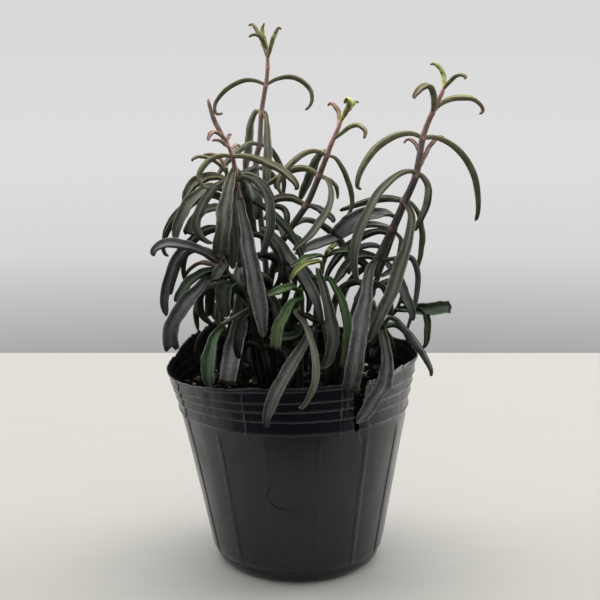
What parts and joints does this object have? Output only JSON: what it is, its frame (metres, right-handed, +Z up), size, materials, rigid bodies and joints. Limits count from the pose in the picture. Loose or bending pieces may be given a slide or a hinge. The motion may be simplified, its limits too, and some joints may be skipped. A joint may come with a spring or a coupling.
{
  "type": "potted narrow-leaved succulent",
  "caption": "Leafy succulent with arching, channelled, opposite narrow leaves on upright stems, planted in soil in a thin black tapered nursery pot; stands on its flat foot.",
  "frame": {"origin": "middle of the pot's flat foot", "axes": "+Z up; +X to the right and +Y away from a viewer in front of the torn side of the rim"},
  "size_m": [0.114, 0.0991, 0.1964],
  "materials": {
    "pot_plastic": "thin black polyethylene, satin, scuffed and dusty",
    "potting_soil": "damp, crumbly, near black, with a few pale and orange-brown grains",
    "dark_leaf": "dark olive grey, waxy, with pale edges; purplish stems and young tips",
    "green_leaf": "deep green, waxy, with pale edges"
  },
  "bodies": {
    "root": {"pot": "pot_plastic", "soil": "potting_soil", "shoot_tall": "dark_leaf", "shoot_front_left": "dark_leaf", "shoot_left": "dark_leaf", "shoot_low_left": "dark_leaf", "shoot_rim_left": "green_leaf", "shoot_middle": "dark_leaf", "shoot_right": "dark_leaf", "shoot_right_behind": "dark_leaf", "shoot_centre_green": "green_leaf", "shoot_front_green": "green_leaf", "shoot_rim_right": "dark_leaf", "shoot_back_right": "green_leaf"}
  },
  "joints": []
}
